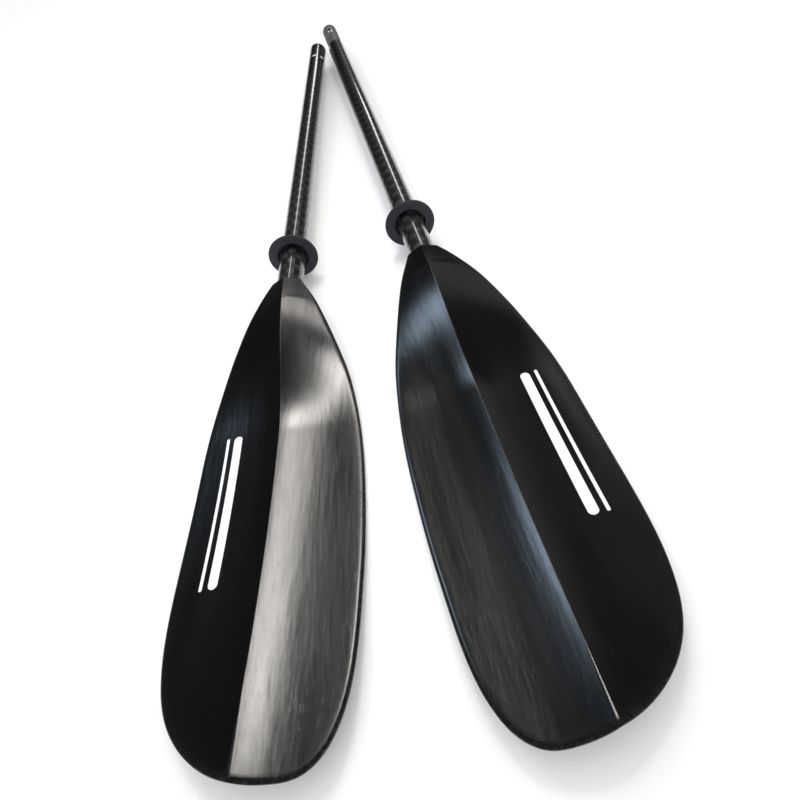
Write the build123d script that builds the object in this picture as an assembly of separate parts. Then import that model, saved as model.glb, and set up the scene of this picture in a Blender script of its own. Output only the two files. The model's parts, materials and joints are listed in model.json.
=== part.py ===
from build123d import *
from math import exp
import os

# Two-piece touring kayak paddle, taken apart and laid on a floor, power faces up.
# Units are millimetres. +Z is up, +Y points from the blades towards the joint,
# and the origin is on the floor at the centre of the paddle's footprint.
#
# Each half is built along its own shaft first: y = 0 at the blade's tip, the shaft's
# axis on the Y axis, and +X to the right when looking from the blade to the joint.
# The female half has the tube with the feather holes, the male half the ferrule.

# ---- shafts ----
HALF_LENGTH = 1154.0      # blade tip to tube end; the joined paddle is 2308 long
TUBE_R = 14.5
TUBE_BORE_R = 12.5
EDGE_BREAK = 0.4          # chamfer on cut tube ends

# ---- joint ----
SOCKET_BORE_R = 13.0      # the female tube's end is bored out to take the ferrule
SOCKET_BORE_L = 110.0
FERRULE_R = 12.95         # slides in the socket
FERRULE_BONDED_R = 12.45  # the part of the ferrule glued into the male tube
FERRULE_BORE_R = 11.35
FERRULE_OUT = 96.0        # length that stands out of the male tube
FERRULE_IN = 90.0         # length bonded inside the male tube
SHOULDER_LAP = 2.0        # plain step that joins the two lengths of the ferrule
BUTTON_SETBACK = 55.0     # button to shoulder, and feather holes to female tube end
BUTTON_R = 3.8
BUTTON_TOP = 16.6         # top of the dome above the shaft's axis
BUTTON_DOME_R = 1.8       # rounding of the dome
BUTTON_HOLE_R = 3.9
FEATHER_HOLE_R = 4.1
FEATHER_ANGLE = 60.0      # left, straight and right feather
FLANGE_R = 4.9            # the button's flange, which stays inside the ferrule
FLANGE_LOW = 9.0
FLANGE_HIGH = 10.1
SPRING_T = 0.6
SPRING_W = 7.0
SPRING_REACH = 42.0       # button to the spring's fold
SPRING_BEND_R = 2.5
SPRING_PAST = 4.0         # how far the legs reach past the button
SPRING_FLAT = 5.0         # where the upper leg levels out, before the button
SPRING_CLEAR = 1.05       # ferrule's wall to the middle of the lower leg
SPRING_GAP = 0.1          # strip to the button's flange

# ---- blades ----
BLADE_LENGTH = 470.0      # tip to mouth
BLADE_T = 4.5
RIM_R = 1.6               # rounding of the blade's edge
THROAT_HALF = 16.5        # half width of the outline at the mouth
SLAB_HALF = 92.0          # half width of the blade before its outline is cut
SLAB_ACROSS = [0, 9, 22, 40, 64, SLAB_HALF]      # where its sections are shaped
SLAB_ALONG = [-10, 50, 110, 170, 230, 290, 340, 390, 435, BLADE_LENGTH]
CUTTER_HALF = 80.0        # half height of the column that cuts the outline
RIDGE_SLOPE = 0.31        # flank slope beside the centre ridge
FLANK_REACH = 35.0        # distance over which a flank flattens out
SPOON_LOW = -14.0         # lowest point of the ridge, measured from the shaft's axis
SPOON_RISE = 22.0         # how far the ridge rises from there to the tip
SPOON_AT = 228.0          # distance of that point from the mouth
SPOON_REACH = 245.0       # and the length over which it rises
NECK_R = 15.9             # outside of the lip round the tube
NECK_Z = -1.0             # its centre, a little under the shaft's axis
NECK_RIDGE = 17.0         # height of the ridge over the neck
NECK_SLOPE = 0.42         # slope of the neck's flanks
NECK_LEVEL = 7.0          # the ridge stays level this far from the mouth
NECK_EASE = 180.0         # and then eases into the spoon over this length
NECK_PAST = 2.0           # the round neck goes on this far past the tube
# The rib under the neck: distance from the mouth and radius.
TAIL = [(54.0, 13.5), (80.0, 9.5), (118.0, 5.0), (173.0, 1.6)]
LIP_BORE_R = 14.55
LIP_DEPTH = 32.0          # how far the tube goes into the blade
SPIGOT_R = 12.45
SPIGOT_BEYOND = 60.0      # how far the spigot reaches up the tube past the mouth
SPIGOT_BORE_R = 9.5
SPIGOT_BORE_DEPTH = 78.0
SPIGOT_EASE = 1.0         # chamfer on the spigot's end

# ---- drip rings ----
RING_R = 28.5
RING_T = 3.0
RING_BORE_R = 14.55
RING_CUP_R = 17.8
RING_CUP_DEPTH = 5.0
RING_COLLAR_L = 17.0
RING_RIM_R = 1.0          # rounding of the disc's edge
COLLAR_FOOT_R = 20.6      # the collar's foot flares out to this radius
COLLAR_FOOT_L = 2.5       # and tapers to the waist over this length
COLLAR_WAIST_R = 19.6
COLLAR_TOP_R = 17.0
FEMALE_RING_ABOVE_MOUTH = 58.5
MALE_RING_ABOVE_MOUTH = 69.5

# ---- plugs inside the tubes ----
WATER_STOP_L = 25.0
FEMALE_STOP_AT = 1010.0
MALE_STOP_AT = 935.0
WATER_STOP_R = 12.4
FERRULE_PLUG_R = 11.2
FERRULE_PLUG_AT = 1066.0
FERRULE_PLUG_L = 22.0
PLUG_EASE = 1.0           # chamfer on a plug's ends

# ---- the two halves on the floor ----
V_ANGLE = 9.78            # angle between the two shafts
SHOULDER_DX = 34.4        # male tube end from the female tube end, sideways
SHOULDER_DY = -11.6       # and along

MOUTH = BLADE_LENGTH


def neck_share(d):
    """1 in the neck, 0 in the open blade, with an eased change between them."""
    t = min(max((d - NECK_LEVEL) / NECK_EASE, 0), 1)
    return 1 - t * t * (3 - 2 * t)


def ridge_height(d):
    """Height of the blade's centre ridge at distance d from the mouth."""
    spoon = SPOON_LOW + SPOON_RISE * ((d - SPOON_AT) / SPOON_REACH) ** 2
    k = neck_share(d)
    return k * NECK_RIDGE + (1 - k) * spoon


def flank_drop(x, d):
    """How far a flank lies below the ridge: a plane in the neck, concave in the blade."""
    k = neck_share(d)
    concave = RIDGE_SLOPE * FLANK_REACH * (1 - exp(-x / FLANK_REACH))
    return k * NECK_SLOPE * x + (1 - k) * concave


def slab_section(y):
    """Closed cross-section of the full-width blade slab at station y."""
    d = MOUTH - y
    right = [(x, y, ridge_height(d) - flank_drop(x, d)) for x in SLAB_ACROSS]
    left = [(-x, y, z) for x, y, z in right]
    lower_right = [(x, y, h - BLADE_T) for x, y, h in right]
    lower_left = [(x, y, h - BLADE_T) for x, y, h in left]
    return Wire([
        Spline(*right),
        Line(right[-1], lower_right[-1]),
        Spline(*lower_right[::-1]),
        Spline(*lower_left),
        Line(lower_left[-1], left[-1]),
        Spline(*left[::-1]),
    ])


def outline():
    """Plan of the blade: fuller at the tip on +X and at the shoulder on -X."""
    inner = [(THROAT_HALF, MOUTH), (21.5, 460), (28.5, 447), (37.5, 426)]
    inner += [(46, 402), (54.5, 376), (63.5, 345), (69.3, 315), (73.8, 282), (76.9, 244)]
    inner += [(78.2, 200), (78.2, 154), (76.8, 115), (74.8, 80), (71.2, 52), (65, 30)]
    tip = [(55, 12.5), (42, 2.8), (25, 0.1), (8, 0.9), (-8, 4.6), (-24, 11.6), (-38, 21)]
    tip += [(-52, 35), (-63.5, 54)]
    outer = [(-71.5, 79), (-76.5, 112), (-78.4, 154), (-78.6, 200), (-78.4, 240), (-77.6, 280)]
    outer += [(-74.6, 312), (-69.5, 341), (-61.8, 375), (-53.8, 402), (-44.8, 426)]
    outer += [(-33.3, 447), (-24.5, 460), (-THROAT_HALF, MOUTH)]
    edge = Spline(*(inner + tip + outer))
    return Face(Wire([edge, Line(outer[-1], inner[0])]))


def neck_section(d, radius, centre):
    """Round section of the neck's underside."""
    return (Plane.XZ.offset(d - MOUTH) * Pos(0, centre, 0) * Circle(radius)).wire()


def rod(radius, y0, y1):
    """Solid round bar along Y."""
    return Pos(0, y0, 0) * extrude(Plane.XZ * Circle(radius), y1 - y0, dir=(0, 1, 0))


def tube(outer, inner, y0, y1):
    """Round tube along Y with broken edges at both ends."""
    ring = Plane.XZ * (Circle(outer) - Circle(inner))
    body = Pos(0, y0, 0) * extrude(ring, y1 - y0, dir=(0, 1, 0))
    return chamfer(body.edges().filter_by(GeomType.CIRCLE), EDGE_BREAK)


def radial_hole(radius, y, angle):
    """Drill from the axis out through one wall, angle measured from +Z."""
    drill = Cylinder(radius, 2 * TUBE_R, align=(Align.CENTER, Align.CENTER, Align.MIN))
    return Pos(0, y, 0) * Rot(0, angle, 0) * drill


def plug(radius, y0, length):
    """Soft round plug with eased ends."""
    body = rod(radius, y0, y0 + length)
    return chamfer(body.edges().filter_by(GeomType.CIRCLE), PLUG_EASE)


def blade_slab():
    """The spooned, dihedral blade skin with its rounded rim."""
    slab = Solid.make_loft([slab_section(y) for y in SLAB_ALONG])
    column = extrude(Pos(0, 0, -CUTTER_HALF) * outline(), 2 * CUTTER_HALF, dir=(0, 0, 1))
    slab = slab & column
    # Only the four runs of the rim, two above and two below, are longer than the ridge.
    rim = [edge for edge in slab.edges() if edge.length > 1.04 * BLADE_LENGTH]
    return fillet(rim, RIM_R)


def blade():
    """One moulded blade: slab, neck with a lip round the tube, and inner spigot."""
    lip_end = LIP_DEPTH + NECK_PAST
    neck = Solid.make_loft([neck_section(0, NECK_R, NECK_Z), neck_section(lip_end, NECK_R, NECK_Z)])
    sections = [neck_section(lip_end, NECK_R, NECK_Z)]
    for d, radius in TAIL:
        sections.append(neck_section(d, radius, ridge_height(d) - BLADE_T / 2 - radius))
    tail = Solid.make_loft(sections)
    body = blade_slab() + neck + tail
    body -= rod(LIP_BORE_R, MOUTH - LIP_DEPTH, MOUTH + 1)
    spigot_end = MOUTH + SPIGOT_BEYOND
    spigot = rod(SPIGOT_R, MOUTH - lip_end, spigot_end)
    spigot = chamfer(spigot.edges().sort_by(Axis.Y)[-1], SPIGOT_EASE)
    return body + spigot - rod(SPIGOT_BORE_R, spigot_end - SPIGOT_BORE_DEPTH, spigot_end)


def female_tube():
    """Tube with a bored-out socket and three feather holes at its joint end."""
    body = tube(TUBE_R, TUBE_BORE_R, MOUTH - LIP_DEPTH, HALF_LENGTH)
    body -= rod(SOCKET_BORE_R, HALF_LENGTH - SOCKET_BORE_L, HALF_LENGTH)
    for angle in (-FEATHER_ANGLE, 0, FEATHER_ANGLE):
        body -= radial_hole(FEATHER_HOLE_R, HALF_LENGTH - BUTTON_SETBACK, angle)
    return body


def ferrule():
    """Thin sleeve bonded in the male tube, with the hole for the snap button."""
    inner_end = HALF_LENGTH - FERRULE_IN
    body = tube(FERRULE_BONDED_R, FERRULE_BORE_R, inner_end, HALF_LENGTH - SHOULDER_LAP / 2)
    body += tube(FERRULE_R, FERRULE_BORE_R, HALF_LENGTH, HALF_LENGTH + FERRULE_OUT)
    body += rod(FERRULE_BONDED_R, HALF_LENGTH - SHOULDER_LAP, HALF_LENGTH + SHOULDER_LAP)
    clear = SHOULDER_LAP + 1
    body -= rod(FERRULE_BORE_R, HALF_LENGTH - clear, HALF_LENGTH + clear)
    return body - radial_hole(BUTTON_HOLE_R, HALF_LENGTH + BUTTON_SETBACK, 0)


def button():
    """Domed snap button with the flange that keeps it in the ferrule."""
    up = (Align.CENTER, Align.CENTER, Align.MIN)
    head = Pos(0, 0, FLANGE_LOW) * Cylinder(BUTTON_R, BUTTON_TOP - FLANGE_LOW, align=up)
    head = fillet(head.edges().group_by(Axis.Z)[-1], BUTTON_DOME_R)
    flange = Pos(0, 0, FLANGE_LOW) * Cylinder(FLANGE_R, FLANGE_HIGH - FLANGE_LOW, align=up)
    return Pos(0, HALF_LENGTH + BUTTON_SETBACK, 0) * (head + flange)


def spring():
    """V of spring strip: one leg on the ferrule's wall, the other under the button."""
    y = HALF_LENGTH + BUTTON_SETBACK
    low = -FERRULE_BORE_R + SPRING_CLEAR
    high = FLANGE_LOW - SPRING_GAP - SPRING_T / 2
    fold = y - SPRING_REACH
    past = y + SPRING_PAST
    path = FilletPolyline((past, low), (fold, low), (y - SPRING_FLAT, high), (past, high),
                          radius=SPRING_BEND_R)
    strip = Plane.YZ * trace(path, SPRING_T)
    return extrude(strip, SPRING_W / 2, both=True)


def drip_ring(above_mouth):
    """Rubber disc with a cup on the blade side and a collar on the joint side."""
    top = RING_T + RING_COLLAR_L
    profile = Polyline(
        (RING_CUP_R, 0), (RING_R, 0), (RING_R, RING_T), (COLLAR_FOOT_R, RING_T),
        (COLLAR_WAIST_R, RING_T + COLLAR_FOOT_L), (COLLAR_TOP_R, top),
        (RING_BORE_R, top), (RING_BORE_R, RING_CUP_DEPTH),
        (RING_CUP_R, RING_CUP_DEPTH), close=True)
    body = revolve(make_face(profile), Axis.Y)
    circles = body.edges().filter_by(GeomType.CIRCLE)
    rims = [edge for edge in circles if abs(edge.radius - RING_R) < 0.01]
    return Pos(0, MOUTH + above_mouth, 0) * fillet(rims, RING_RIM_R)


def female_half():
    """Sub-parts of the half with the socket, along its own shaft."""
    return {
        "female_blade": blade(),
        "female_shaft": female_tube(),
        "female_drip_ring": drip_ring(FEMALE_RING_ABOVE_MOUTH),
        "female_water_stop": plug(WATER_STOP_R, FEMALE_STOP_AT, WATER_STOP_L),
    }


def male_half():
    """Sub-parts of the half with the ferrule; its blade is the mirror image."""
    return {
        "male_blade": mirror(blade(), about=Plane.YZ),
        "male_shaft": tube(TUBE_R, TUBE_BORE_R, MOUTH - LIP_DEPTH, HALF_LENGTH),
        "male_ferrule": ferrule(),
        "snap_button": button(),
        "button_spring": spring(),
        "ferrule_plug": plug(FERRULE_PLUG_R, FERRULE_PLUG_AT, FERRULE_PLUG_L),
        "male_drip_ring": drip_ring(MALE_RING_ABOVE_MOUTH),
        "male_water_stop": plug(WATER_STOP_R, MALE_STOP_AT, WATER_STOP_L),
    }


# Each half is turned by half the V about its tube end, then set in place.
to_tube_end = Pos(0, -HALF_LENGTH, 0)
female_place = Rot(0, 0, -V_ANGLE / 2) * to_tube_end
male_place = Pos(SHOULDER_DX, SHOULDER_DY, 0) * Rot(0, 0, V_ANGLE / 2) * to_tube_end

nodes = {name: female_place * shape for name, shape in female_half().items()}
nodes.update({name: male_place * shape for name, shape in male_half().items()})

# The origin goes to the centre of the footprint, on the floor.
box = nodes["female_blade"].bounding_box()
for shape in nodes.values():
    box = box.add(shape.bounding_box())
to_origin = Pos(-(box.min.X + box.max.X) / 2, -(box.min.Y + box.max.Y) / 2, -box.min.Z)

os.makedirs("parts", exist_ok=True)
for name, shape in nodes.items():
    export_step(to_origin * shape, f"parts/{name}.step")

shaft_z = -box.min.Z
female_end = to_origin * female_place * Pos(0, HALF_LENGTH, 0)
male_end = to_origin * male_place * Pos(0, HALF_LENGTH, 0)
print("shaft height", round(shaft_z, 3), "box", [round(v, 2) for v in box.size])
print("female tube end", [round(v, 3) for v in female_end.position])
print("male tube end", [round(v, 3) for v in male_end.position])
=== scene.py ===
import json
import math

import bmesh
import bpy
import numpy as np
from mathutils import Matrix, Vector


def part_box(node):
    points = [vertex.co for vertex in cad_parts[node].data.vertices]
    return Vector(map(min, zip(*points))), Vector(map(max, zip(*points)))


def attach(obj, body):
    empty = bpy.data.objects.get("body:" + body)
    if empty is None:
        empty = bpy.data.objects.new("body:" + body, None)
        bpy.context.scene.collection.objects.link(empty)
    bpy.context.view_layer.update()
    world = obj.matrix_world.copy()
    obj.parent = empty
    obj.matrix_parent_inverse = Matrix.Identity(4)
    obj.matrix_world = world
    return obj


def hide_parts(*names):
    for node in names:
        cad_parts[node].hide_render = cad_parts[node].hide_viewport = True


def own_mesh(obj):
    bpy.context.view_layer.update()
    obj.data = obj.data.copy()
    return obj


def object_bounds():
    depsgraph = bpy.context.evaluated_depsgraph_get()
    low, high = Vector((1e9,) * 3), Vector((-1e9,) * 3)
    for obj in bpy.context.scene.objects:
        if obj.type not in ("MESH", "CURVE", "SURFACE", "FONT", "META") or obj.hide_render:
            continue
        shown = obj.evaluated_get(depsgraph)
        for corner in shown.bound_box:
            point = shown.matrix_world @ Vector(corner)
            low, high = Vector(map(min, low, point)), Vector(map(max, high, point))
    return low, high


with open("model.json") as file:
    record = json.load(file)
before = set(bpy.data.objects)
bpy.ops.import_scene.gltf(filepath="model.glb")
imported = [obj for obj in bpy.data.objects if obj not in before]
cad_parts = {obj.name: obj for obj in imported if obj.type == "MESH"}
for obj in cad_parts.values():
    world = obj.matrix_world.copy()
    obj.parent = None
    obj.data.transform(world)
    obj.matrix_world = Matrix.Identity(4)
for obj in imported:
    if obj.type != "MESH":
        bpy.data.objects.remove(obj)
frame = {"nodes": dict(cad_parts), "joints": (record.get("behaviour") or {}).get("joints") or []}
cad_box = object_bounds()

# A two-piece kayak paddle, taken apart and lying power faces up.
# Each half has its own axes: y = 0 at the blade's tip, the shaft's axis along +Y,
# +X to the right when looking from the blade to the joint. Sizes below are in
# millimetres in those axes, and MM turns them into the frame's metres.
MM = 0.001

HALF_LENGTH = 1154.0
MOUTH = 470.0             # where the tube leaves the blade
LIP_DEPTH = 32.0
LIP_BORE_R = 14.55

# ---- blade ----
BLADE_T = 4.5
RIDGE_SLOPE = 0.31
FLANK_REACH = 35.0
SPOON_LOW = -14.0
SPOON_RISE = 22.0
SPOON_AT = 228.0
SPOON_REACH = 245.0
NECK_R = 15.9
NECK_Z = -1.0
NECK_RIDGE = 17.0
NECK_SLOPE = 0.42
NECK_LEVEL = 7.0
NECK_EASE = 180.0
# The rib under the neck: distance from the mouth and radius, as far as it runs.
TAIL = ((34.0, NECK_R), (54.0, 13.5), (80.0, 9.5), (118.0, 5.0), (173.0, 1.6), (183.0, 0.9))
SPIGOT_R = 12.45
SPIGOT_BEYOND = 60.0
SPIGOT_BORE_R = 9.5
SPIGOT_BORE_DEPTH = 78.0
FAN_AT = 62.0             # rows of the mesh fan round this point of the ridge
BLADE_ROWS = 230
FLANK_COLUMNS = 30
RIM_STEPS = 5
MOUTH_EASE = 0.45         # chamfer round the mouth
SINK_DEPTH = 0.3          # faint raised line over the end of the tube
SINK_WIDTH = 4.0
PRINT_CLEAR = 40.0        # the printed face starts this far from the mouth

# ---- drip rings ----
RING_R = 28.5
RING_T = 3.0
RING_BORE_R = 14.55
RING_CUP_R = 17.8
RING_CUP_DEPTH = 5.0
RING_COLLAR_L = 17.0
COLLAR_FOOT_R = 20.6
COLLAR_FOOT_L = 2.5
COLLAR_WAIST_R = 19.6
COLLAR_TOP_R = 17.0

# ---- snap button's spring ----
FERRULE_BORE_R = 11.35
BUTTON_SETBACK = 55.0
FLANGE_LOW = 9.0
SPRING_T = 0.6
SPRING_W = 7.0
SPRING_REACH = 42.0
SPRING_BEND_R = 2.5
SPRING_PAST = 4.0
SPRING_FLAT = 5.0
SPRING_CLEAR = 1.05
SPRING_GAP = 0.1

# ---- woven tubes ----
TOWS_ROUND = 10           # strips side by side round the tube
TOW_L = 9.4               # length of one crossing along the tube


# ------------------------------------------------------------------ frames

def half_axes(shaft, ring_joint):
    """Matrix from a half's own axes (in metres) to the frame."""
    low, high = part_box(shaft)
    joint = next(j for j in frame["joints"] if j["name"] == ring_joint)
    along = Vector(joint["axis"]).normalized()
    shaft_length = (HALF_LENGTH - MOUTH + LIP_DEPTH) * MM
    tip = (low + high) / 2 - along * (HALF_LENGTH * MM - shaft_length / 2)
    up = Vector((0, 0, 1))
    right = along.cross(up).normalized()
    axes = Matrix((right, along, up)).transposed().to_4x4()
    return Matrix.Translation(tip) @ axes


FEMALE_AXES = half_axes("female_shaft", "female_ring_slide")
MALE_AXES = half_axes("male_shaft", "male_ring_slide")


# ------------------------------------------------------------- mesh helpers

def make_object(name, vertices, faces, axes, smooth=True):
    """Mesh object, laid down in the frame, from points in a half's own millimetres."""
    mesh = bpy.data.meshes.new(name)
    mesh.from_pydata([axes @ (Vector(p) * MM) for p in vertices], [], faces)
    work = bmesh.new()
    work.from_mesh(mesh)
    bmesh.ops.remove_doubles(work, verts=work.verts, dist=1e-6)
    bmesh.ops.dissolve_degenerate(work, dist=1e-7, edges=work.edges)
    bmesh.ops.recalc_face_normals(work, faces=work.faces)
    work.to_mesh(mesh)
    work.free()
    mesh.polygons.foreach_set("use_smooth", [smooth] * len(mesh.polygons))
    made = bpy.data.objects.new(name, mesh)
    bpy.context.scene.collection.objects.link(made)
    return made


def strip(first, second, closed=False):
    """Quads between two rows of vertex numbers."""
    count = len(first)
    last = count if closed else count - 1
    faces = []
    for i in range(last):
        j = (i + 1) % count
        faces.append((first[i], first[j], second[j], second[i]))
    return faces


def revolved(profile, segments=128):
    """Vertices and faces of a closed (radius, y) profile turned about the shaft's axis."""
    vertices = []
    rows = []
    for k in range(segments):
        turn = 2 * math.pi * k / segments
        rows.append(range(len(vertices), len(vertices) + len(profile)))
        vertices += [(r * math.sin(turn), y, r * math.cos(turn)) for r, y in profile]
    faces = []
    for k in range(segments):
        faces += strip(rows[k], rows[(k + 1) % segments], closed=True)
    return vertices, faces


def rounded(points, radii, steps=4, closed=True):
    """A polyline with its corners turned into arcs of the given radii."""
    count = len(points)
    made = []
    for i, (point, radius) in enumerate(zip(points, radii)):
        corner = np.array(point, float)
        if radius == 0 or (not closed and i in (0, count - 1)):
            made.append(tuple(corner))
            continue
        before = np.array(points[i - 1], float) - corner
        after = np.array(points[(i + 1) % count], float) - corner
        before /= np.linalg.norm(before)
        after /= np.linalg.norm(after)
        half_turn = math.acos(np.clip(before @ after, -1, 1)) / 2
        middle = (before + after) / np.linalg.norm(before + after)
        centre = corner + middle * radius / math.sin(half_turn)
        start = corner + before * radius / math.tan(half_turn) - centre
        end = corner + after * radius / math.tan(half_turn) - centre
        swing = math.acos(np.clip(start @ end / radius ** 2, -1, 1))
        for k in range(steps + 1):
            share = k / steps
            weights = [math.sin((1 - share) * swing), math.sin(share * swing)]
            bent = (weights[0] * start + weights[1] * end) / math.sin(swing)
            made.append(tuple(centre + bent))
    return made


def ease(t):
    """Smooth step from 0 to 1."""
    t = min(max(t, 0.0), 1.0)
    return t * t * (3 - 2 * t)


def soft_min(a, b, width):
    """The lower of two heights, with a fillet of about that width between them."""
    h = min(max(0.5 + 0.5 * (b - a) / width, 0.0), 1.0)
    return b + (a - b) * h - width * h * (1 - h)


# -------------------------------------------------------------------- blade

def neck_share(d):
    return 1 - ease((d - NECK_LEVEL) / NECK_EASE)


def ridge_height(d):
    spoon = SPOON_LOW + SPOON_RISE * ((d - SPOON_AT) / SPOON_REACH) ** 2
    k = neck_share(d)
    return k * NECK_RIDGE + (1 - k) * spoon


def power_face(x, y):
    """Height of the blade's upper face."""
    d = MOUTH - y
    k = neck_share(d)
    concave = RIDGE_SLOPE * FLANK_REACH * (1 - math.exp(-abs(x) / FLANK_REACH))
    drop = k * NECK_SLOPE * abs(x) + (1 - k) * concave
    sink = SINK_DEPTH * math.exp(-((d - LIP_DEPTH) / SINK_WIDTH) ** 2) * ease(abs(x) / 4)
    return ridge_height(d) - drop + sink * (1 - ease((abs(x) - 14) / 16))


def back_face(x, y):
    """Height of the underside: the blade's skin, the round neck and its rib."""
    d = MOUTH - y
    skin = power_face(x, y) - BLADE_T
    if d > TAIL[-1][0]:
        return skin
    distances, radii = zip(*TAIL)
    radius = float(np.interp(d, distances, radii))
    level = ridge_height(d) - BLADE_T / 2 - radius
    centre = NECK_Z + (level - NECK_Z) * ease((d - TAIL[0][0]) / (TAIL[1][0] - TAIL[0][0]))
    knee = 0.93 * radius
    if abs(x) < knee:
        round_part = centre - math.sqrt(radius ** 2 - x ** 2)
    else:
        steep = knee / math.sqrt(radius ** 2 - knee ** 2)
        round_part = centre - math.sqrt(radius ** 2 - knee ** 2) + steep * (abs(x) - knee)
    return soft_min(skin, round_part, 0.4 + 3.0 * ease(d / 30))


def smooth_curve(points, count):
    """Closely spaced points on a natural cubic spline through the given ones."""
    points = np.array(points, float)
    steps = np.linalg.norm(np.diff(points, axis=0), axis=1)
    knots = np.concatenate([[0], np.cumsum(steps)])
    size = len(points)
    matrix = np.eye(size)
    right = np.zeros((size, 2))
    for i in range(1, size - 1):
        matrix[i, i - 1] = steps[i - 1]
        matrix[i, i] = 2 * (steps[i - 1] + steps[i])
        matrix[i, i + 1] = steps[i]
        change = (points[i + 1] - points[i]) / steps[i] - (points[i] - points[i - 1]) / steps[i - 1]
        right[i] = 6 * change
    bend = np.linalg.solve(matrix, right)
    at = np.linspace(0, knots[-1], count)
    i = np.clip(np.searchsorted(knots, at, side="right") - 1, 0, size - 2)
    h = steps[i][:, None]
    a = (knots[i + 1] - at)[:, None]
    b = (at - knots[i])[:, None]
    curve = (bend[i] * a ** 3 + bend[i + 1] * b ** 3) / (6 * h)
    curve += (points[i] / h - bend[i] * h / 6) * a
    return curve + (points[i + 1] / h - bend[i + 1] * h / 6) * b


def outline_sides():
    """The blade's plan as two curves from the mouth to the tip, right and left.

    It is fuller at the tip on the right and at the shoulder on the left.
    """
    inner = [(16.5, MOUTH), (21.5, 460), (28.5, 447), (37.5, 426)]
    inner += [(46, 402), (54.5, 376), (63.5, 345), (69.3, 315), (73.8, 282), (76.9, 244)]
    inner += [(78.2, 200), (78.2, 154), (76.8, 115), (74.8, 80), (71.2, 52), (65, 30)]
    tip = [(55, 12.5), (42, 2.8), (25, 0.1), (8, 0.9), (-8, 4.6), (-24, 11.6), (-38, 21)]
    tip += [(-52, 35), (-63.5, 54)]
    outer = [(-71.5, 79), (-76.5, 112), (-78.4, 154), (-78.6, 200), (-78.4, 240), (-77.6, 280)]
    outer += [(-74.6, 312), (-69.5, 341), (-61.8, 375), (-53.8, 402), (-44.8, 426)]
    outer += [(-33.3, 447), (-24.5, 460), (-16.5, MOUTH)]
    dense = smooth_curve(inner + tip + outer, 6001)
    crossing = int(np.argmax(dense[:, 0] < 0))
    share = dense[crossing - 1, 0] / (dense[crossing - 1, 0] - dense[crossing, 0])
    middle = dense[crossing - 1] * (1 - share) + dense[crossing] * share
    right = np.vstack([dense[:crossing], middle])
    left = np.vstack([dense[crossing:][::-1], middle])
    return right, left


def spread(curve, count):
    """Evenly spaced points on a dense curve, with inward normals beside them."""
    lengths = np.linalg.norm(np.diff(curve, axis=0), axis=1)
    run = np.concatenate([[0], np.cumsum(lengths)])
    at = np.linspace(0, run[-1], count)
    points = np.stack([np.interp(at, run, curve[:, k]) for k in (0, 1)], axis=1)
    slope = np.gradient(points, axis=0)
    normals = np.stack([slope[:, 1], -slope[:, 0]], axis=1)
    return points, normals / np.linalg.norm(normals, axis=1)[:, None]


def spine_point(t):
    """Where row t starts on the ridge: straight across at the mouth, then a fan."""
    run = (MOUTH - FAN_AT) / 3.6
    return MOUTH - 4.6 * run * t + run * t ** 4


def flank_profile(rim, inward, spine_y):
    """One row of points: ridge, upper face, rounded rim, underside, ridge again."""
    d = MOUTH - rim[1]
    # The rim's rounding is slight at the throat and full further out.
    grown = ease(d / 80)
    reach = 1.2 + 2.6 * grown
    round_z = 1.2 + 0.5 * grown
    inset = rim + inward * reach
    shares = [0, 0.006, 0.014, 0.026]
    shares += list(np.linspace(0.05, 1, FLANK_COLUMNS))
    start = np.array([0.0, spine_y])
    inside = [start + (inset - start) * s for s in shares]
    turns = [math.pi / 2 * k / RIM_STEPS for k in range(1, RIM_STEPS + 1)]
    edge = [(rim + inward * reach * (1 - math.sin(a)), round_z * (1 - math.cos(a))) for a in turns]
    upper = [(x, y, power_face(x, y)) for x, y in inside]
    upper += [(p[0], p[1], power_face(*p) - drop) for p, drop in edge]
    lower = [(p[0], p[1], back_face(*p) + drop) for p, drop in edge[::-1]]
    lower += [(x, y, back_face(x, y)) for x, y in inside[::-1]]
    return upper, lower


def mouth_rings(loop):
    """Rings that close a blade at the mouth: lip, socket and spigot."""
    spigot_end = MOUTH + SPIGOT_BEYOND
    floor = MOUTH - LIP_DEPTH
    turned = [
        (LIP_BORE_R + 0.4, MOUTH), (LIP_BORE_R, MOUTH - 0.4), (LIP_BORE_R, floor),
        (SPIGOT_R, floor), (SPIGOT_R, spigot_end - 1), (SPIGOT_R - 1, spigot_end),
        (SPIGOT_BORE_R, spigot_end), (SPIGOT_BORE_R, spigot_end - SPIGOT_BORE_DEPTH),
    ]
    rings = [[(x * 0.978, MOUTH, z * 0.978) for x, y, z in loop]]
    for radius, y in turned:
        sized = [radius / math.hypot(x, z) for x, _, z in loop]
        rings.append([(x * s, y, z * s) for (x, _, z), s in zip(loop, sized)])
    return rings


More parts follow.
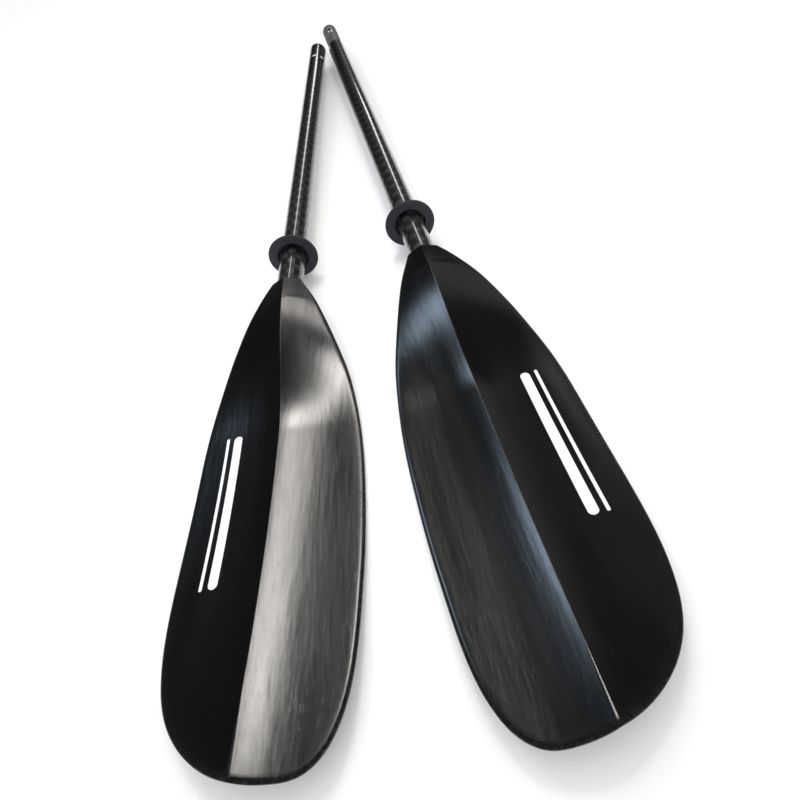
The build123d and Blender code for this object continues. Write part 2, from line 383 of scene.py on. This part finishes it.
def blade(name, axes, mirrored):
    """One moulded blade as a fine mesh: two flanks, rounded rim, neck and spigot."""
    vertices = []
    faces = []
    printed = 0
    mouth = []
    for side, curve in zip((1, -1), outline_sides()):
        rims, normals = spread(curve, BLADE_ROWS + 1)
        normals *= side
        normals[-1] = (0, 1)
        rims[0, 1] = MOUTH - MOUTH_EASE
        rows = []
        for i in range(BLADE_ROWS + 1):
            spine_y = min(spine_point(i / BLADE_ROWS), MOUTH - MOUTH_EASE)
            upper, lower = flank_profile(rims[i], normals[i], spine_y)
            rows.append(range(len(vertices), len(vertices) + len(upper) + len(lower)))
            vertices += upper + lower
        for first, second in zip(rows, rows[1:]):
            faces += strip(first, second)
        outer = [vertices[n] for n in rows[0]]
        mouth += outer[:-1] if side == 1 else outer[::-1][:-1]
    rings = [[(x, MOUTH - MOUTH_EASE, z) for x, _, z in mouth]] + mouth_rings(mouth)
    numbers = []
    for ring in rings:
        numbers.append(range(len(vertices), len(vertices) + len(ring)))
        vertices += ring
    for first, second in zip(numbers, numbers[1:]):
        faces += strip(first, second, closed=True)
    faces.append(tuple(numbers[-1]))
    if mirrored:
        vertices = [(-x, y, z) for x, y, z in vertices]
    made = make_object(name, vertices, faces, axes)
    edge_distance(made.data, axes, mirrored)
    return made


def edge_distance(mesh, axes, mirrored):
    """Stores how near each vertex is to the rim, from 0 inside to 1 on the edge."""
    right, left = outline_sides()
    rim = np.vstack([right[::12], left[::12]])
    if mirrored:
        rim = rim * (-1, 1)
    back = axes.inverted()
    points = np.array([(back @ v.co)[:2] for v in mesh.vertices]) / MM
    near = np.empty(len(points))
    for start in range(0, len(points), 4000):
        block = points[start:start + 4000, None, :] - rim[None, :, :]
        near[start:start + 4000] = np.sqrt((block ** 2).sum(2)).min(1)
    # Weight of the paler rim band: scuffs plus a painted highlight.
    rim_scuff_and_highlight = np.exp(-near / 2.5).astype(np.float32)
    mesh.attributes.new("edge", "FLOAT", "POINT").data.foreach_set("value", rim_scuff_and_highlight)


# --------------------------------------------------------------- materials

def plug_in(tree, socket, value):
    if isinstance(value, bpy.types.NodeSocket):
        tree.links.new(value, socket)
    else:
        socket.default_value = value


def add(tree, kind, inputs=None, **settings):
    """Adds a shader node with its settings and inputs, and returns it."""
    made = tree.nodes.new("ShaderNode" + kind)
    for key, value in settings.items():
        setattr(made, key, value)
    for key, value in (inputs or {}).items():
        plug_in(tree, made.inputs[key], value)
    return made


def calc(tree, operation, *values):
    """One Math node, by its operation and up to three values."""
    made = add(tree, "Math", operation=operation)
    for k, value in enumerate(values):
        plug_in(tree, made.inputs[k], value)
    return made.outputs[0]


def noise(tree, vector, scale, detail=3.0, roughness=0.55):
    inputs = {"Vector": vector, "Scale": scale, "Detail": detail, "Roughness": roughness}
    return add(tree, "TexNoise", inputs).outputs["Fac"]


def remap(tree, value, low, high, to_low, to_high):
    inputs = {"Value": value, 1: low, 2: high, 3: to_low, 4: to_high}
    return add(tree, "MapRange", inputs).outputs[0]


def mix_colour(tree, share, first, second):
    made = add(tree, "Mix", data_type="RGBA")
    plug_in(tree, made.inputs[0], share)
    plug_in(tree, made.inputs[6], first)
    plug_in(tree, made.inputs[7], second)
    return made.outputs[2]


def mix_number(tree, share, first, second):
    made = add(tree, "Mix")
    plug_in(tree, made.inputs[0], share)
    plug_in(tree, made.inputs[2], first)
    plug_in(tree, made.inputs[3], second)
    return made.outputs[0]


def bump(tree, height, strength, distance, normal=None):
    inputs = {"Height": height, "Strength": strength, "Distance": distance}
    made = add(tree, "Bump", inputs)
    if normal is not None:
        tree.links.new(normal, made.inputs["Normal"])
    return made.outputs[0]


def grey(value, warm=0.0):
    return (value * (1 + warm), value, value * (1 - warm), 1)


def new_material(name):
    made = bpy.data.materials.new(name)
    made.use_nodes = True
    tree = made.node_tree
    shader = tree.nodes["Principled BSDF"]
    place = add(tree, "TexCoord").outputs["Object"]
    return made, tree, shader, place


def along_half(tree, place, axes):
    """Coordinates along a half's own axes, in metres."""
    inputs = {"Vector": place, "Location": axes.translation, "Rotation": axes.to_euler()}
    return add(tree, "Mapping", inputs, vector_type="TEXTURE").outputs[0]


def stretched(tree, place, scale):
    return add(tree, "Mapping", {"Vector": place, "Scale": scale}).outputs[0]


def finish_shader(tree, shader, colour, rough, normal):
    plug_in(tree, shader.inputs["Base Color"], colour)
    plug_in(tree, shader.inputs["Roughness"], rough)
    plug_in(tree, shader.inputs["Normal"], normal)


def stripe(tree, x, y, centre_x, half_width, centre_y, half_length):
    """1 inside a round-ended stripe that runs along the blade, in millimetres."""
    across = calc(tree, "ABSOLUTE", calc(tree, "SUBTRACT", x, centre_x * MM))
    along = calc(tree, "ABSOLUTE", calc(tree, "SUBTRACT", y, centre_y * MM))
    straight = (half_length - half_width) * MM
    past = calc(tree, "MAXIMUM", calc(tree, "SUBTRACT", along, straight), 0.0)
    squares = calc(tree, "ADD", calc(tree, "MULTIPLY", across, across), calc(tree, "MULTIPLY", past, past))
    away = calc(tree, "SQRT", squares)
    return remap(tree, away, (half_width + 0.1) * MM, (half_width - 0.1) * MM, 0.0, 1.0)


def blade_nylon(name, axes, stripes=()):
    """Glass-filled nylon: satin, finely grained, with flow marks and a paler rim that is partly scuffing
    and partly a painted highlight.
    """
    made, tree, shader, place = new_material(name)
    place = along_half(tree, place, axes)
    along = stretched(tree, place, (26, 3.2, 26))
    flow = noise(tree, along, 1.0, 4.0, 0.6)
    cloud = noise(tree, place, 14.0, 3.0)
    grain = noise(tree, place, 1500.0, 2.0, 0.7)
    speck = noise(tree, place, 420.0, 3.0, 0.6)
    scratch = noise(tree, stretched(tree, place, (900, 35, 900)), 1.0, 2.0, 0.5)
    # Paler, rougher band along the rim: speckled scuffing, plus a painted highlight line just inside the
    # edge.
    rim_scuff_and_highlight = add(tree, "Attribute", attribute_name="edge").outputs["Fac"]
    rim_scuff_and_highlight = calc(tree, "MULTIPLY", rim_scuff_and_highlight, remap(tree, speck, 0.42, 0.62, 0.25, 1.0))
    colour = mix_colour(tree, cloud, grey(0.0032), grey(0.0055, 0.03))
    colour = mix_colour(tree, calc(tree, "MULTIPLY", rim_scuff_and_highlight, 0.5), colour, grey(0.05))
    rough = remap(tree, flow, 0.3, 0.7, 0.13, 0.23)
    rough = calc(tree, "ADD", rough, remap(tree, grain, 0.3, 0.7, -0.03, 0.05))
    rough = calc(tree, "ADD", rough, calc(tree, "MULTIPLY", rim_scuff_and_highlight, 0.12))
    relief = bump(tree, flow, 0.25, 0.0016)
    relief = bump(tree, grain, 0.07, 0.00025, relief)
    relief = bump(tree, remap(tree, scratch, 0.62, 0.72, 0.0, -1.0), 0.12, 0.0001, relief)
    if stripes:
        parts = add(tree, "SeparateXYZ", {"Vector": place}).outputs
        print_share = 0.0
        for values in stripes:
            print_share = calc(tree, "MAXIMUM", print_share, stripe(tree, parts[0], parts[1], *values))
        ink = mix_colour(tree, speck, grey(0.72), grey(0.84))
        colour = mix_colour(tree, print_share, colour, ink)
        rough = mix_number(tree, print_share, rough, 0.5)
    shader.inputs["Specular IOR Level"].default_value = 0.55
    finish_shader(tree, shader, colour, rough, relief)
    return made


def woven_carbon(name, axes, holes=()):
    """Spread-tow plain weave under a clear coat, laid out round one tube; the tows' sheen, the shade
    between tows and the highlights at any holes are painted into the colour.
    """
    made, tree, shader, place = new_material(name)
    local = along_half(tree, place, axes)
    parts = add(tree, "SeparateXYZ", {"Vector": local}).outputs
    turn = calc(tree, "ARCTAN2", parts[0], parts[2])
    across = calc(tree, "MULTIPLY", turn, TOWS_ROUND / (2 * math.pi))
    along = calc(tree, "DIVIDE", parts[1], TOW_L * MM)
    warp_cell = calc(tree, "FLOOR", across)
    weft_cell = calc(tree, "FLOOR", along)
    checker = calc(tree, "PINGPONG", calc(tree, "ADD", warp_cell, weft_cell), 1.0)
    warp_pillow = calc(tree, "PINGPONG", across, 0.5)
    weft_pillow = calc(tree, "PINGPONG", along, 0.5)
    warp_pillow = calc(tree, "POWER", calc(tree, "MULTIPLY", warp_pillow, 2.0), 0.45)
    weft_pillow = calc(tree, "POWER", calc(tree, "MULTIPLY", weft_pillow, 2.0), 0.45)
    spot = add(tree, "CombineXYZ", {0: across, 1: along}).outputs[0]
    warp_fibre = noise(tree, stretched(tree, spot, (34, 1.2, 1)), 1.0, 3.0, 0.6)
    weft_fibre = noise(tree, stretched(tree, spot, (1.2, 34, 1)), 1.0, 3.0, 0.6)
    fibre = mix_number(tree, checker, warp_fibre, weft_fibre)
    pillow = mix_number(tree, checker, warp_pillow, weft_pillow)
    cell = add(tree, "CombineXYZ", {0: warp_cell, 1: weft_cell}).outputs[0]
    shade = add(tree, "TexWhiteNoise", {"Vector": cell}).outputs["Value"]
    # Painted reflection: the tows running one way are coloured lighter and the crossing tows darker,
    # standing in for how each fibre direction catches the light.
    shaded_tow_colour = mix_colour(tree, fibre, grey(0.010), grey(0.035, 0.02))
    light = mix_colour(tree, fibre, grey(0.05, 0.02), grey(0.12, 0.02))
    colour = mix_colour(tree, checker, shaded_tow_colour, light)
    dimmed = mix_number(tree, shade, 0.72, 1.1)
    # Painted shade: each tow darkens towards its edges, in the dips between tows; the random dimming per
    # crossing is plain tone.
    colour = mix_colour(tree, calc(tree, "MULTIPLY", dimmed, pillow), grey(0.008), colour)
    rough = mix_number(tree, fibre, 0.34, 0.5)
    height = calc(tree, "ADD", calc(tree, "MULTIPLY", pillow, 1.0), calc(tree, "MULTIPLY", fibre, 0.25))
    normal = bump(tree, height, 0.5, 0.00025)
    # Painted highlight: the cut edges of the feather holes are painted near-white and given a rougher
    # finish.
    for turned, y in holes:
        near = hole_highlight_mask(tree, parts, turned, y)
        colour = mix_colour(tree, near, colour, grey(0.78, 0.02))
        rough = mix_number(tree, near, rough, 0.45)
    smooth = noise(tree, local, 60.0, 2.0)
    shader.inputs["Metallic"].default_value = 0.6
    shader.inputs["Coat Weight"].default_value = 1.0
    shader.inputs["Coat Roughness"].default_value = 0.045
    shader.inputs["Coat IOR"].default_value = 1.5
    plug_in(tree, shader.inputs["Coat Normal"], bump(tree, smooth, 0.08, 0.0006))
    finish_shader(tree, shader, colour, rough, normal)
    return made


def hole_highlight_mask(tree, parts, turned, y):
    """1 on the cut edge of a drilled hole, whose axis stands at an angle from +Z; this marks where a
    painted highlight goes.
    """
    angle = math.radians(turned)
    side = calc(tree, "SUBTRACT",
                calc(tree, "MULTIPLY", parts[0], math.cos(angle)),
                calc(tree, "MULTIPLY", parts[2], math.sin(angle)))
    outward = calc(tree, "ADD",
                   calc(tree, "MULTIPLY", parts[0], math.sin(angle)),
                   calc(tree, "MULTIPLY", parts[2], math.cos(angle)))
    back = calc(tree, "SUBTRACT", parts[1], y * MM)
    squares = calc(tree, "ADD", calc(tree, "MULTIPLY", side, side), calc(tree, "MULTIPLY", back, back))
    near = calc(tree, "LESS_THAN", calc(tree, "SQRT", squares), 4.6 * MM)
    return calc(tree, "MULTIPLY", near, calc(tree, "GREATER_THAN", outward, 0.0))


def ring_rubber():
    """Moulded rubber: matte, softly mottled, with dust in the grain."""
    made, tree, shader, place = new_material("ring_rubber")
    cloud = noise(tree, place, 90.0, 4.0)
    grain = noise(tree, place, 1900.0, 2.0, 0.7)
    colour = mix_colour(tree, cloud, (0.020, 0.019, 0.026, 1), (0.040, 0.038, 0.050, 1))
    colour = mix_colour(tree, remap(tree, grain, 0.6, 0.8, 0.0, 0.35), colour, (0.10, 0.10, 0.12, 1))
    rough = remap(tree, cloud, 0.3, 0.7, 0.58, 0.74)
    relief = bump(tree, cloud, 0.15, 0.0005)
    relief = bump(tree, grain, 0.35, 0.00018, relief)
    finish_shader(tree, shader, colour, rough, relief)
    shader.inputs["Specular IOR Level"].default_value = 0.4
    return made


def sanded_sleeve(axes):
    """Grey composite, sanded round, so that it slides in the tube."""
    made, tree, shader, place = new_material("ferrule_sleeve")
    local = along_half(tree, place, axes)
    turned = noise(tree, stretched(tree, local, (60, 2600, 60)), 1.0, 3.0, 0.65)
    cloud = noise(tree, local, 55.0, 4.0, 0.6)
    rubbed = noise(tree, stretched(tree, local, (420, 22, 420)), 1.0, 3.0, 0.6)
    colour = mix_colour(tree, cloud, (0.055, 0.058, 0.058, 1), (0.10, 0.104, 0.102, 1))
    colour = mix_colour(tree, remap(tree, rubbed, 0.55, 0.75, 0.0, 0.5), colour, grey(0.24))
    rough = remap(tree, cloud, 0.3, 0.7, 0.45, 0.6)
    relief = bump(tree, turned, 0.25, 0.00012)
    finish_shader(tree, shader, colour, rough, relief)
    return made


def steel(name, brightness, rough_low, rough_high, brushed):
    """Stainless steel with fine brushing and a few rub marks."""
    made, tree, shader, place = new_material(name)
    lines = noise(tree, stretched(tree, place, brushed), 1.0, 3.0, 0.6)
    spots = noise(tree, place, 700.0, 3.0)
    colour = mix_colour(tree, spots, grey(brightness * 0.86), grey(brightness))
    rough = remap(tree, lines, 0.3, 0.7, rough_low, rough_high)
    relief = bump(tree, lines, 0.12, 0.00005)
    shader.inputs["Metallic"].default_value = 1.0
    finish_shader(tree, shader, colour, rough, relief)
    return made


def plug_foam():
    """Closed-cell foam with its cells showing."""
    made, tree, shader, place = new_material("plug_foam")
    cells = add(tree, "TexVoronoi", {"Vector": place, "Scale": 900.0}).outputs["Distance"]
    cloud = noise(tree, place, 120.0)
    colour = mix_colour(tree, cells, grey(0.03), grey(0.075))
    rough = remap(tree, cloud, 0.3, 0.7, 0.8, 0.95)
    finish_shader(tree, shader, colour, rough, bump(tree, cells, 0.5, 0.0004))
    return made


def pale_floor():
    made, tree, shader, place = new_material("floor")
    cloud = noise(tree, place, 1.5, 2.0)
    fine = noise(tree, place, 160.0, 2.0)
    colour = mix_colour(tree, cloud, grey(0.88), grey(0.92))
    rough = remap(tree, fine, 0.3, 0.7, 0.72, 0.82)
    finish_shader(tree, shader, colour, rough, bump(tree, fine, 0.03, 0.0005))
    shader.inputs["Specular IOR Level"].default_value = 0.2
    return made


def dress(target, *materials):
    """Gives an object its materials in place of whatever it had."""
    target.data.materials.clear()
    for material in materials:
        target.data.materials.append(material)


# ------------------------------------------------------------------ pieces

def place_blade(name, node, axes, mirrored, body, stripes):
    """Builds a blade, paints its upper face and lets it stand for the CAD one."""
    made = blade(name, axes, mirrored)
    dress(made, blade_nylon(name + "_face", axes, stripes), blade_nylon(name + "_back", axes))
    back = axes.inverted()
    for polygon in made.data.polygons:
        printed = polygon.normal.z > 0.5 and (back @ polygon.center).y < (MOUTH - PRINT_CLEAR) * MM
        polygon.material_index = 0 if printed else 1
    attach(made, body)
    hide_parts(node)


def drip_ring(name, node, axes, body):
    """Moulded ring with a rolled rim, fine rings on its face and a tapered collar."""
    low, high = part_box(node)
    centre = axes.inverted() @ ((low + high) / 2)
    length = (RING_T + RING_COLLAR_L) * MM
    start = (centre.y - length / 2) / MM
    face = []
    for k in range(3):
        r = 21.0 + 2.1 * k
        face += [(r - 0.35, start), (r, start + 0.28), (r + 0.35, start)]
    corners = [
        (RING_CUP_R, start), *face, (RING_R, start), (RING_R, start + RING_T),
        (COLLAR_FOOT_R, start + RING_T), (COLLAR_WAIST_R, start + RING_T + COLLAR_FOOT_L),
        (COLLAR_TOP_R, start + RING_T + RING_COLLAR_L),
        (RING_BORE_R, start + RING_T + RING_COLLAR_L), (RING_BORE_R, start + RING_CUP_DEPTH),
        (RING_CUP_R, start + RING_CUP_DEPTH),
    ]
    radii = [0.5] + [0.12] * 9 + [1.1, 1.2, 1.6, 2.5, 1.2, 0.4, 0.5, 0.8]
    made = make_object(name, *revolved(rounded(corners, radii)), axes)
    dress(made, rubber)
    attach(made, body)
    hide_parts(node)


def button_spring():
    """The V of spring strip that flattens as the button goes in."""
    button_y = HALF_LENGTH + BUTTON_SETBACK
    low = -FERRULE_BORE_R + SPRING_CLEAR
    high = FLANGE_LOW - SPRING_GAP - SPRING_T / 2
    past = button_y + SPRING_PAST
    corners = [(past, low), (button_y - SPRING_REACH, low)]
    corners += [(button_y - SPRING_FLAT, high), (past, high)]
    line = np.array(rounded(corners, [0, SPRING_BEND_R, SPRING_BEND_R, 0], 8, closed=False))
    slope = np.gradient(line, axis=0)
    normals = np.stack([-slope[:, 1], slope[:, 0]], axis=1)
    normals /= np.linalg.norm(normals, axis=1)[:, None]
    vertices = []
    rows = []
    for point, normal in zip(line, normals):
        rows.append(range(len(vertices), len(vertices) + 4))
        for x, off in ((-0.5, 0.5), (0.5, 0.5), (0.5, -0.5), (-0.5, -0.5)):
            y, z = point + normal * off * SPRING_T
            vertices.append((x * SPRING_W, y, z))
    faces = [tuple(rows[0]), tuple(rows[-1])]
    for first, second in zip(rows, rows[1:]):
        faces += strip(first, second, closed=True)
    made = make_object("spring_strip", vertices, faces, MALE_AXES, smooth=False)
    dress(made, steel("spring_steel", 0.5, 0.28, 0.42, (3000, 60, 60)))
    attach(made, "male_half")
    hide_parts("button_spring")
    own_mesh(made)


rubber = ring_rubber()
foam = plug_foam()
feather_holes = [(turned, HALF_LENGTH - BUTTON_SETBACK) for turned in (-60, 0, 60)]

# Two plain lengthwise stripes of white ink on the outer flank of each blade.
STRIPES = ((44.0, 4.2, 214.0, 76.0), (54.5, 1.4, 214.0, 76.0))
left_stripes = [(-x, *rest) for x, *rest in STRIPES]
place_blade("blade_female", "female_blade", FEMALE_AXES, False, "female_half", left_stripes)
place_blade("blade_male", "male_blade", MALE_AXES, True, "male_half", STRIPES)
drip_ring("ring_female", "female_drip_ring", FEMALE_AXES, "female_ring")
drip_ring("ring_male", "male_drip_ring", MALE_AXES, "male_ring")
button_spring()

nodes = frame["nodes"]
dress(nodes["female_shaft"], woven_carbon("carbon_female", FEMALE_AXES, feather_holes))
dress(nodes["male_shaft"], woven_carbon("carbon_male", MALE_AXES))
dress(nodes["male_ferrule"], sanded_sleeve(MALE_AXES))
dress(nodes["snap_button"], steel("button_steel", 0.85, 0.12, 0.22, (900, 900, 200)))
for name in ("female_water_stop", "male_water_stop", "ferrule_plug"):
    dress(nodes[name], foam)


# ------------------------------------------------------ floor, light, camera

FLOOR_REACH = 14.0        # metres, like the lights' and the camera's measures below
FLOOR_GAP = 0.0004


def softbox(name, target, azimuth, elevation, distance, size, brightness, colour, beam=180):
    """Soft panel facing a target from a compass direction; beam is its spread in degrees."""
    a = math.radians(azimuth)
    e = math.radians(elevation)
    away = Vector((math.sin(a) * math.cos(e), math.cos(a) * math.cos(e), math.sin(e)))
    light = bpy.data.lights.new(name, "AREA")
    light.shape = "RECTANGLE"
    light.size, light.size_y = size
    light.energy = brightness * math.pi * size[0] * size[1]
    light.color = colour
    light.spread = math.radians(beam)
    made = bpy.data.objects.new(name, light)
    made.location = target + away * distance
    made.rotation_euler = away.to_track_quat("Z", "Y").to_euler()
    made.visible_camera = False
    bpy.context.scene.collection.objects.link(made)


def make_floor():
    """Pale floor just under the lowest point of the CAD."""
    low = cad_box[0]
    mesh = bpy.data.meshes.new("floor")
    r = FLOOR_REACH
    corners = [(-r, -r), (r, -r), (r, r), (-r, r)]
    mesh.from_pydata([(x, y, low.z - FLOOR_GAP) for x, y in corners], [], [(0, 1, 2, 3)])
    floor = bpy.data.objects.new("floor", mesh)
    bpy.context.scene.collection.objects.link(floor)
    dress(floor, pale_floor())


def make_world():
    """Even white surroundings that light the floor but leave no glare on the gloss."""
    world = bpy.data.worlds.new("studio")
    bpy.context.scene.world = world
    world.use_nodes = True
    background = world.node_tree.nodes["Background"]
    background.inputs["Color"].default_value = (1, 1, 1, 1)
    background.inputs["Strength"].default_value = 1.12
    world.cycles_visibility.glossy = False


def make_camera():
    """Close, wide view from above the blades' tips, turned a little clockwise."""
    camera = bpy.data.cameras.new("camera")
    camera.lens = 27.755
    camera.sensor_width = 36.0
    camera.clip_start = 0.02
    made = bpy.data.objects.new("camera", camera)
    back = Vector((0.0945, -0.6687, 0.7374)).normalized()
    up = Vector((0.2493, 0.7331, 0.6328))
    right = up.cross(back).normalized()
    turned = Matrix((right, back.cross(right), back)).transposed().to_4x4()
    joint_end = FEMALE_AXES @ Vector((0, HALF_LENGTH * MM, 0))
    made.matrix_world = Matrix.Translation(joint_end + CAMERA_FROM_JOINT_END) @ turned
    bpy.context.scene.collection.objects.link(made)
    bpy.context.scene.camera = made


CAMERA_FROM_JOINT_END = Vector((0.0920, -1.2383, 0.3931))
WARM = (1.0, 0.965, 0.925)
COOL = (0.62, 0.80, 1.0)
make_floor()
make_world()
make_camera()
female_flank = FEMALE_AXES @ Vector((0.03, 0.36, 0))
female_neck = FEMALE_AXES @ Vector((0.01, 0.44, 0))
male_neck = MALE_AXES @ Vector((-0.02, 0.39, 0))
softbox("key", female_flank, 5, 61, 2.6, (0.64, 0.60), 0.36, WARM, beam=22)
softbox("neck", female_neck, 25, 50, 1.0, (0.16, 0.20), 9.0, WARM)
softbox("fill", male_neck, 33, 34, 3.0, (1.5, 1.0), 0.4, (1, 1, 1))
softbox("streak", female_flank, 10, 27, 2.4, (0.22, 1.2), 5.0, (1, 1, 1))
softbox("cool", male_neck, -52, 51, 1.1, (0.17, 0.26), 9.0, COOL)
bpy.context.scene.view_settings.view_transform = "Standard"
